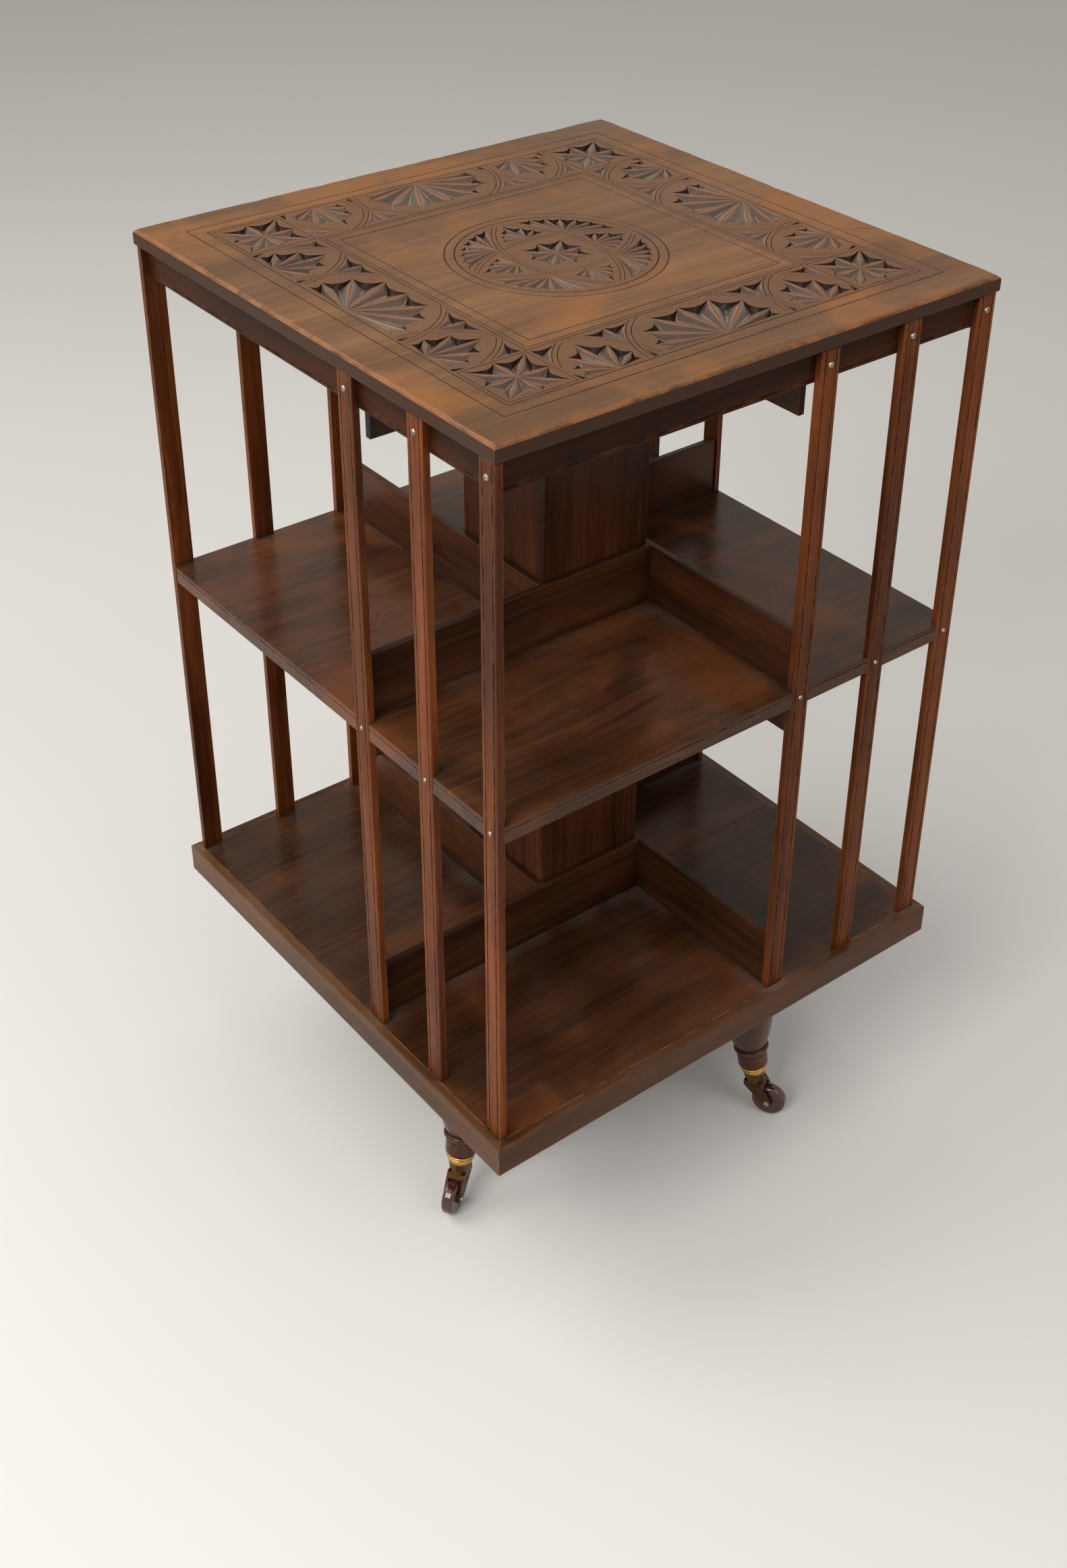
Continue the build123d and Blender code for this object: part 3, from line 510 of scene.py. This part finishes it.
def valley(one, other, depth, pit_depth, fork, rim, place):
    """Groove between two leaf ridges that forks round a deep pit; the ground between the tips swells in."""
    last = len(one) - 1
    knee = round(last * fork)
    middle = [((a[0] + b[0]) / 2, (a[1] + b[1]) / 2) for a, b in zip(one, other)]
    apex = middle[knee]
    brink = between(apex, middle[last], rim)
    points, faces, kinds, rims = [], [], [], []

    def put(p, z, dip=0.0):
        """Index of a new point, with how far down the side of its groove it lies."""
        points.append((*place(p), z, dip))
        return len(points) - 1

    deepest = put(between(apex, brink, PIT_MIDDLE), -pit_depth)
    brink_top = put(brink, 0.0)
    for side in (one, other):
        # Sides of the groove, from the ridge down to the foot
        columns, tip = [], side[last]
        for k in range(last + 1):
            if k <= knee:
                foot, sunk = middle[k], depth * (k / knee) ** FALL
            else:
                share = (k - knee) / (last - knee)
                foot, sunk = between(apex, tip, share), depth * (1 - share) ** FALL
            crest = side[k] if k else middle[0]
            halfway = tuple((crest[i] + foot[i]) / 2 for i in (0, 1))
            column = (put(crest, 0.0), put(halfway, -HALFWAY_DEPTH * sunk, 0.5), put(foot, -sunk, 1.0))
            columns.append(column)
        for before, after in zip(columns, columns[1:]):
            faces += [(before[i], after[i], after[i + 1], before[i + 1]) for i in (0, 1)]
            kinds += [SLOPE, SLOPE]
        # Steep outer wall of the pit, which curves from the brink to the leaf's tip
        hold = between(tip, apex, PIT_HOLD)
        outer, edge, wall = [], [brink_top], [deepest]
        for k in range(knee + 1, last):
            share = (k - knee) / (last - knee)
            p = tuple((1 - share) ** 2 * brink[i] + 2 * share * (1 - share) * hold[i] + share ** 2 * tip[i]
                      for i in (0, 1))
            outer.append(p)
            edge.append(put(p, 0.0))
            foot = points[columns[k][2]]
            sunk = -foot[2] + (pit_depth - depth) * (1 - share)
            points.append((*between(points[edge[-1]], foot, PIT_WALL), -sunk, 0.0))
            wall.append(len(points) - 1)
        edge.append(columns[last][0])
        wall.append(columns[last][0])
        feet = [column[2] for column in columns[knee:]]
        for k in range(len(edge) - 1):
            faces.append((edge[k], edge[k + 1], wall[k + 1], wall[k]))
            faces.append((wall[k], wall[k + 1], feet[k + 1], feet[k]))
            kinds += [HOLLOW, HOLLOW]
        rims.append(outer)
    outline = [middle[0]] + one[1:] + rims[0][::-1] + [brink] + rims[1] + other[:0:-1]
    chips.append(([place(p) for p in outline], points, faces, kinds))


def fan(origin, ridges, inside, place, reach=0.90, tips=None, depth=3.4, pit_depth=4.4, fork=0.78, rim=0.50,
        closed=False, steps=14, swell=1.0):
    """Shell of leaves whose ridges radiate from a point, parted by grooves that end in pits."""
    ridges = [radians(a) for a in ridges]
    tips = tips or [cast(origin, a, inside) * reach for a in ridges]
    pairs = list(zip(ridges, ridges[1:], tips, tips[1:]))
    if closed:
        pairs.append((ridges[-1], ridges[0] + 2 * pi, tips[-1], tips[0]))
    for low_angle, high_angle, low_tip, high_tip in pairs:
        narrow = min(1.0, (high_angle - low_angle) / WIDE_ANGLE)
        root = CREST / sin((high_angle - low_angle) / 2) + ROOT_GAP
        sides = []
        for angle, tip, way in ((low_angle, low_tip, 1), (high_angle, high_tip, -1)):
            side = []
            for k in range(steps + 1):
                r = root + (tip - root) * k / steps
                aside = CREST + swell * narrow * (k / steps) * (1 - (k / steps) ** 3)
                side.append((origin[0] + r * cos(angle) - way * aside * sin(angle),
                             origin[1] + r * sin(angle) + way * aside * cos(angle)))
            sides.append(side)
        width = hypot(sides[0][-1][0] - sides[1][-1][0], sides[0][-1][1] - sides[1][-1][1])
        deep = min(depth, DEPTH_PER_WIDTH * width + LEAST_DEPTH)
        valley(sides[0], sides[1], deep, min(pit_depth, deep + PIT_DROP), fork, rim, place)


def square(half, x=0.0, y=0.0):
    """Corners of a square."""
    return [(x - half, y - half), (x + half, y - half), (x + half, y + half), (x - half, y + half)]


def circle(radius, x=0.0, y=0.0, count=96):
    """Points round a circle."""
    angles = [2 * pi * k / count for k in range(count)]
    return [(x + radius * cos(angle), y + radius * sin(angle)) for angle in angles]


def spaced(first, last, count):
    """Values from first to last in equal steps."""
    return [first + (last - first) * k / count for k in range(count + 1)]


def arc(centre, radius, first, last, count):
    """Points along an arc, its ends in degrees."""
    return [(centre[0] + radius * cos(radians(angle)), centre[1] + radius * sin(radians(angle)))
            for angle in spaced(first, last, count)]


def runs(path, keep):
    """Stretches of a path where a test holds, each of four points or more."""
    found, now = [], []
    for p in path:
        if keep(*p):
            now.append(p)
        else:
            found.append(now)
            now = []
    return [run for run in found + [now] if len(run) > 3]


# Plain squares: half side, and width of the line
for half, width in ((209.0, 1.0), (197.0, 1.0), (133.5, 0.9), (130.0, 0.8), (121.0, 0.9)):
    ring(square(half), width, 0.75)

# Corner rosettes, each in its own square
CELL, CELL_HALF = 164.4, 29.2
EIGHTHS = [45 * k for k in range(8)]
for sx in (-1, 1):
    for sy in (-1, 1):
        centre = (sx * CELL, sy * CELL)
        ring(square(CELL_HALF, *centre), 0.8, 0.7)
        fan((0, 0), EIGHTHS, None, placed(centre), tips=[28.0, 38.6] * 4, depth=3.2, pit_depth=4.6,
            fork=0.58, rim=0.42, closed=True, swell=0.8)

# Side bands: interlaced arcade of plain ribbons with shells between them; u runs along, v inward
FOOT_LINE, BAND_DEEP, BAND_FIRST = 195.5, 61.2, 0.25
ARCH, RIBBON, PITCH = 71.0, 2.3, 66.75
NEAR, FAR = ARCH - RIBBON - 0.7, ARCH + RIBBON + 0.7
BAY_END = 2 * PITCH - 0.9

# Lines of the side bands: width, depth, how far in from a ribbon's edge, and how far to stop before another
LINE_WIDTH, LINE_DEPTH, LINE_INSET, LINE_STOP = 0.65, 0.6, 0.35, 0.9
BIG_RIDGES = [3, 15, 38, 62, 90, 118, 142, 165, 177]
POINTED_RIDGES = [9, 34, 63, 91, 118, 147, 171]

# Each ribbon: its centre, its first and last angle, and the centre of the ribbon that it passes under
RIBBONS = ((0, 1.0, 62.0, None), (2 * PITCH, 179.0, 118.0, 0), (PITCH, 1.0, 62.0, 2 * PITCH))


def in_big_shell(u, v):
    """Inside the shell under one whole arch."""
    return hypot(u, v) < NEAR and hypot(abs(u) - 2 * PITCH, v) > FAR and BAND_FIRST < v < BAND_DEEP


def in_pointed_shell(u, v):
    """Inside the shell where two arches overlap."""
    u = abs(u)
    arches = hypot(u - PITCH, v) < NEAR and hypot(u - 2 * PITCH, v) < NEAR and hypot(u, v) > FAR
    return arches and BAND_FIRST < v < BAND_DEEP and u < BAY_END


def upper_shells(sign, down):
    """Shell above the crossing of two ribbons, and the half shell at the band's end."""
    rises = spaced(33.6, 58.0, 10)
    inward = [(sqrt((FAR + 0.2) ** 2 - v * v), v) for v in rises]
    outward = [(2 * PITCH - u, v) for u, v in inward]
    stop = [(PITCH + u, v) for u, v in inward]
    near_stem, far_stem = ([(PITCH + gap, v) for v in spaced(34.6, 59.6, 10)] for gap in (-CREST, CREST))
    wall = [(BAY_END - 0.3, v) for v in spaced(36.6, 59.6, 10)]
    for pair in ((inward, near_stem), (far_stem, outward), (stop, wall)):
        one, other = ([(sign * u, v) for u, v in half] for half in pair)
        valley(one, other, depth=2.8, pit_depth=3.8, fork=0.70, rim=0.55, place=down)


def foot_pits(sign, down):
    """Small pits at the feet of the ribbons."""
    outlines = (([(PITCH - 1.9, 0.5), (PITCH + 1.9, 0.5), (PITCH, 9.5)], 1.8),
                ([(BAY_END - 0.2, 1.0), (BAY_END - 0.2, 12.0), (BAY_END - 5.0, 1.0)], 2.4))
    for outline, depth in outlines:
        faceted_pit([down((sign * u, v)) for u, v in outline], depth)


def ribbon_lines(sign, down):
    """Lines along both edges of each ribbon, broken where it passes under another."""
    for offset in (-RIBBON + LINE_INSET, RIBBON - LINE_INSET):
        for centre, first, last, above in RIBBONS:
            def shows(u, v):
                """Whether the ribbon is seen at a point."""
                clear = above is None or abs(hypot(u - above, v) - ARCH) > RIBBON + LINE_STOP
                return clear and LINE_STOP < v < BAND_DEEP - 0.2 and u < 2 * PITCH - 1.0

            for path in runs(arc((centre, 0), ARCH + offset, first, last, 40), shows):
                line([down((sign * u, v)) for u, v in path], LINE_WIDTH, LINE_DEPTH)


def side_band(turn):
    """One side of the carved band."""
    at = placed((0, 0), turn)

    def down(p):
        """From band coordinates to the board's."""
        return at((p[0], -FOOT_LINE + p[1]))

    fan((0, 0), BIG_RIDGES, in_big_shell, down, reach=0.91, depth=3.8, pit_depth=5.0, swell=1.7)
    for sign in (-1, 1):
        fan((sign * 1.5 * PITCH, 0), POINTED_RIDGES, in_pointed_shell, down, reach=0.87, depth=3.3,
            pit_depth=4.4, fork=0.74, rim=0.46, swell=1.1)
        upper_shells(sign, down)
        foot_pits(sign, down)
        ribbon_lines(sign, down)


for quarter_turn in range(4):
    side_band(90 * quarter_turn)

# Roundel: two crossing almond shapes of plain ribbon in a circle, whose edges are bows
HUB, RIM, CROSSING, BOW_RIBBON = (-3.0, -2.0), 78.0, 30.5, 2.0
BOW_LINE_WIDTH, BOW_LINE_DEPTH, BOW_LINE_INSET, BOW_CLEAR = 0.6, 0.55, 0.3, 0.6
SHIFT = (RIM ** 2 - 2 * CROSSING ** 2) / (2 * CROSSING)
BOW = hypot(RIM, SHIFT)
BOW_CENTRES = {"up": (0, -SHIFT), "down": (0, SHIFT), "right": (-SHIFT, 0), "left": (SHIFT, 0)}
HALF_ANGLE = degrees(asin(RIM / BOW))
BOW_FIRST, BOW_LAST = 90 - HALF_ANGLE + 2.2, 90 + HALF_ANGLE - 2.2
ring(circle(87.0, *HUB), 0.9, 0.8)
ring(circle(RIM + 1.2, *HUB), 1.0, 0.9)


def bow_out(x, y, way):
    """Signed distance past a bow's centre line, on the side that it bows to."""
    cx, cy = BOW_CENTRES[way]
    return hypot(x - cx, y - cy) - BOW


def within_bow(x, y, way):
    """Inside a bow, clear of its ribbon."""
    return bow_out(x, y, way) < -BOW_RIBBON - BOW_CLEAR


def beyond_bow(x, y, way):
    """Outside a bow, clear of its ribbon."""
    return bow_out(x, y, way) > BOW_RIBBON + BOW_CLEAR


def in_arm(x, y):
    """Inside the right arm of an almond shape."""
    almond = beyond_bow(x, y, "right") and within_bow(x, y, "up") and within_bow(x, y, "down")
    return almond and hypot(x, y) < RIM - 1.5


def in_wedge(x, y):
    """Between two arms."""
    return beyond_bow(x, y, "right") and beyond_bow(x, y, "up") and hypot(x, y) < RIM - 0.8


def on_top(x, y):
    """Clear of the bows to the right and left, which pass over the others."""
    return all(abs(bow_out(x, y, way)) > BOW_RIBBON + 0.7 for way in ("right", "left"))


fan((0, 0), EIGHTHS, None, placed(HUB), tips=[25.5, 29.0] * 4, depth=2.8, pit_depth=3.8, fork=0.60,
    rim=0.44, closed=True, swell=0.6)
for quarter_turn in range(4):
    at = placed(HUB, 90 * quarter_turn)
    under = quarter_turn % 2 == 0
    fan((38.3, 0), [-78, -52, -26, 0, 26, 52, 78], in_arm, at, reach=0.92, depth=2.4, pit_depth=3.2,
        fork=0.74, swell=0.5)
    fan((33.6, 33.6), [-26, -10, 9, 32, 58, 81, 100, 116], in_wedge, at, reach=0.95, depth=3.2,
        pit_depth=4.2, fork=0.76, swell=0.7)
    for offset in (-BOW_RIBBON + BOW_LINE_INSET, BOW_RIBBON - BOW_LINE_INSET):
        bowed = arc((0, -SHIFT), BOW + offset, BOW_FIRST, BOW_LAST, 60)
        for path in runs(bowed, lambda x, y: (on_top(x, y) or not under) and hypot(x, y) < RIM - 1.6):
            line([at(p) for p in path], BOW_LINE_WIDTH, BOW_LINE_DEPTH)

# Shrinkage crack by the right edge
CRACK = [(210.2, -98.6), (212.5, -99.4), (216, -100.4), (223, -103.6), (229, -108.2), (234.0, -113.0)]
line(CRACK, 0.55, 0.8)


# Board that carries the carving, with worn and nibbled edges
random.seed(7)
PER_SIDE = 110
AROUND = 4 * PER_SIDE
BITES, BITE_REACH = 26, 2
low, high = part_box("top_board")
HALF = (high.x - low.x) / 2 / MM
TOP_Z, THICK = high.z / MM, (high.z - low.z) / MM


def wander(count, steps):
    """Smooth random run from 0 to 1, closed on itself."""
    values = [random.random() for _ in range(count)]
    for _ in range(steps):
        values = [(values[i - 1] + values[i] * 2 + values[(i + 1) % count]) / 4 for i in range(count)]
    base, span = min(values), max(values) - min(values)
    return [(v - base) / span for v in values]


def perimeter(insets):
    """Points round the board, evenly along each side, with the ends of the sides on its diagonals."""
    points = []
    for side in range(4):
        for k in range(PER_SIDE):
            half = HALF - insets[side * PER_SIDE + k]
            x, y = (2 * k / PER_SIDE - 1) * half, -half
            for _ in range(side):
                x, y = -y, x
            points.append((x, y))
    return points


def bite(bites, middle, size):
    """Wear away a short stretch of the edge."""
    for k in range(-BITE_REACH, BITE_REACH + 1):
        index = (middle + k) % AROUND
        bites[index] = max(bites[index], size * (1 - abs(k) / (BITE_REACH + 1)))


nibble = wander(AROUND, 2)
bites = [0.0] * AROUND
for _ in range(BITES):
    spot, size = random.randrange(AROUND), random.uniform(0.4, 1.5)
    bite(bites, spot, size)
for corner in range(4):
    bite(bites, corner * PER_SIDE, 0.7)

# Rows of the edge from the upper face down: insets, and height from the face
rows = [([2.2 + 0.7 * n + b for n, b in zip(nibble, bites)], 0.0),
        ([0.9 + 0.4 * n + 0.7 * b for n, b in zip(nibble, bites)], -1.2),
        ([0.10 + 0.25 * b for b in bites], -2.5),
        ([0.0] * AROUND, -4.0),
        ([0.0] * AROUND, -THICK + 0.6),
        ([0.6] * AROUND, -THICK)]
loops = [perimeter(insets) for insets, _ in rows]

flat_points, index_of = [], {}


def point_index(p):
    """Index of a point of the upper face."""
    key = (round(p[0], 4), round(p[1], 4))
    if key not in index_of:
        index_of[key] = len(flat_points)
        flat_points.append(Vector(key))
    return index_of[key]


def counterclockwise(face):
    """The face, turned over where it runs clockwise."""
    points = [flat_points[i] for i in face]
    area = sum(a.x * b.y - b.x * a.y for a, b in zip(points, points[1:] + points[:1]))
    return face if area > 0 else face[::-1]


# The upper face is parted along the outlines of the cuts; what lies in none of them stays plain
INSIDE_ONLY, TOLERANCE = 1, 1e-5
outlines = [loops[0]] + [chip[0] for chip in chips]
flat_faces = [counterclockwise([point_index(p) for p in outline]) for outline in outlines]
parted = delaunay_2d_cdt(flat_points, [], flat_faces, INSIDE_ONLY, TOLERANCE)
out_points, _, out_faces, _, _, from_faces = parted

verts, dips, faces, marks, shared = [], [], [], [], {}


def vertex(x, y, z, dip=0.0):
    """Index of a point, with how far down the side of its groove it lies."""
    key = (round(x, 4), round(y, 4), round(z, 4))
    if key not in shared:
        shared[key] = len(verts)
        verts.append((x * MM, y * MM, (TOP_Z + z) * MM))
        dips.append(dip)
    return shared[key]


for face, source in zip(out_faces, from_faces):
    if set(source) == {0}:
        faces.append([vertex(out_points[i].x, out_points[i].y, 0.0) for i in face])
        marks.append(PLAIN)
for _, points, cut_faces, kinds in chips:
    ids = [vertex(*p) for p in points]
    for face, kind in zip(cut_faces, kinds):
        corners = [ids[i] for i in face]
        kept = [c for i, c in enumerate(corners) if c != corners[i - 1]]
        if len(kept) > 2:
            faces.append(kept)
            marks.append(kind)
edge_ids = [[vertex(x, y, z) for x, y in loop] for loop, (_, z) in zip(loops, rows)]
for upper, lower in zip(edge_ids, edge_ids[1:]):
    for k in range(AROUND):
        n = (k + 1) % AROUND
        faces.append([upper[k], lower[k], lower[n], upper[n]])
        marks.append(PLAIN)
faces.append(edge_ids[-1][::-1])
marks.append(PLAIN)

mesh = bpy.data.meshes.new("carved_top")
mesh.from_pydata(verts, [], faces)
for material in (top_wood, carved_wood, shaded_cut_wood):
    mesh.materials.append(material)
mesh.attributes.new("dip", "FLOAT", "POINT").data.foreach_set("value", dips)
mesh.polygons.foreach_set("material_index", marks)
mesh.validate()
work = bmesh.new()
work.from_mesh(mesh)
bmesh.ops.recalc_face_normals(work, faces=work.faces)
work.to_mesh(mesh)
work.free()
mesh.update()
carved_top = bpy.data.objects.new("carved_top", mesh)
bpy.context.scene.collection.objects.link(carved_top)
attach(carved_top, "case")
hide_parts("top_board")

# Floor: pale where it is seen or mirrored, darker and warmer in the light that it throws back
FLOOR_HALF, FLOOR_ROUGHNESS = 30.0, 0.75
FLOOR_SEEN = (0.80, 0.785, 0.76, 1.0)
FLOOR_BOUNCED = (0.42, 0.33, 0.25, 1.0)


def in_sight(tree):
    """Whether a ray comes from the camera, also by way of a mirror or glass."""
    ray = add(tree, "LightPath").outputs
    turned = calc(tree, "MAXIMUM", ray["Is Glossy Ray"], ray["Is Transmission Ray"])
    return calc(tree, "MAXIMUM", ray["Is Camera Ray"], turned)


floor_mesh = bpy.data.meshes.new("floor")
floor_mesh.from_pydata([(x, y, 0) for x, y in square(FLOOR_HALF)], [], [(0, 1, 2, 3)])
floor = bpy.data.objects.new("floor", floor_mesh)
bpy.context.scene.collection.objects.link(floor)
floor_material, floor_tree, floor_shader = start("pale_floor")
floor_colour = blend(floor_tree, in_sight(floor_tree), FLOOR_BOUNCED, FLOOR_SEEN)
floor_tree.links.new(floor_colour, floor_shader.inputs["Base Color"])
floor_shader.inputs["Roughness"].default_value = FLOOR_ROUGHNESS
floor_mesh.materials.append(floor_material)

# Room: a soft warm light, and a paler colour where it is seen or mirrored
ROOM_LIGHT, LIGHT_STRENGTH = (1.0, 0.97, 0.92, 1.0), 0.34
ROOM_SEEN, SEEN_STRENGTH = (0.82, 0.81, 0.75, 1.0), 0.8
world = bpy.data.worlds.new("studio")
world.use_nodes = True
bpy.context.scene.world = world
room = world.node_tree
room.nodes.clear()
lit = add(room, "Background", {"Color": ROOM_LIGHT, "Strength": LIGHT_STRENGTH})
pale = add(room, "Background", {"Color": ROOM_SEEN, "Strength": SEEN_STRENGTH})
both = add(room, "MixShader", {0: in_sight(room), 1: lit.outputs[0], 2: pale.outputs[0]})
add(room, "OutputWorld", {0: both.outputs[0]})


def lamp(name, place, target_height, size, power, colour=(1.0, 1.0, 1.0)):
    """Soft square lamp that looks at a point on the bookcase's axis."""
    data = bpy.data.lights.new(name, "AREA")
    data.shape, data.size, data.energy, data.color = "SQUARE", size, power, colour
    lamp_object = bpy.data.objects.new(name, data)
    lamp_object.location = place
    aim = Vector((0, 0, target_height)) - Vector(place)
    lamp_object.rotation_euler = aim.to_track_quat("-Z", "Y").to_euler()
    bpy.context.scene.collection.objects.link(lamp_object)


lamp("key", (-1.5, 1.3, 2.5), 0.5, 1.8, 34.0, (1.0, 0.98, 0.95))
lamp("front_fill", (0.4, -2.3, 2.5), 0.4, 1.8, 17.0, (1.0, 0.99, 0.97))
lamp("side_fill", (-2.5, -0.8, 2.2), 0.4, 1.6, 58.0, (1.0, 0.98, 0.96))
lamp("overhead", (0.2, 0.2, 3.2), 0, 2.4, 11.0)

# Camera: focal length and picture in pixels, sensor in mm, angles in degrees
FOCAL, LONG_SIDE, SHORT_SIDE, SENSOR = 2895.7, 2324.0, 1582.0, 36.0
PRINCIPAL = (829.25, 946.55)
AZIMUTH, ELEVATION, ROLL = radians(-38.659), radians(32.284), radians(0.708)
STAND = Vector((-0.89596, -1.12755, 1.39196))
camera_data = bpy.data.cameras.new("camera")
camera_data.sensor_fit = "AUTO"
camera_data.sensor_width = SENSOR
camera_data.lens = FOCAL * SENSOR / LONG_SIDE
camera_data.shift_x = (SHORT_SIDE / 2 - PRINCIPAL[0]) / LONG_SIDE
camera_data.shift_y = (PRINCIPAL[1] - LONG_SIDE / 2) / LONG_SIDE
camera_data.clip_start, camera_data.clip_end = 0.05, 60.0
camera = bpy.data.objects.new("camera", camera_data)
back = Vector((sin(AZIMUTH) * cos(ELEVATION), -cos(AZIMUTH) * cos(ELEVATION), sin(ELEVATION)))
right = (-back).cross(Vector((0, 0, 1))).normalized()
up = right.cross(-back)
right, up = right * cos(ROLL) + up * sin(ROLL), up * cos(ROLL) - right * sin(ROLL)
camera.matrix_world = Matrix((
    (right.x, up.x, back.x, STAND.x),
    (right.y, up.y, back.y, STAND.y),
    (right.z, up.z, back.z, STAND.z),
    (0, 0, 0, 1)))
bpy.context.scene.collection.objects.link(camera)
bpy.context.scene.camera = camera
bpy.context.scene.view_settings.view_transform = "Standard"
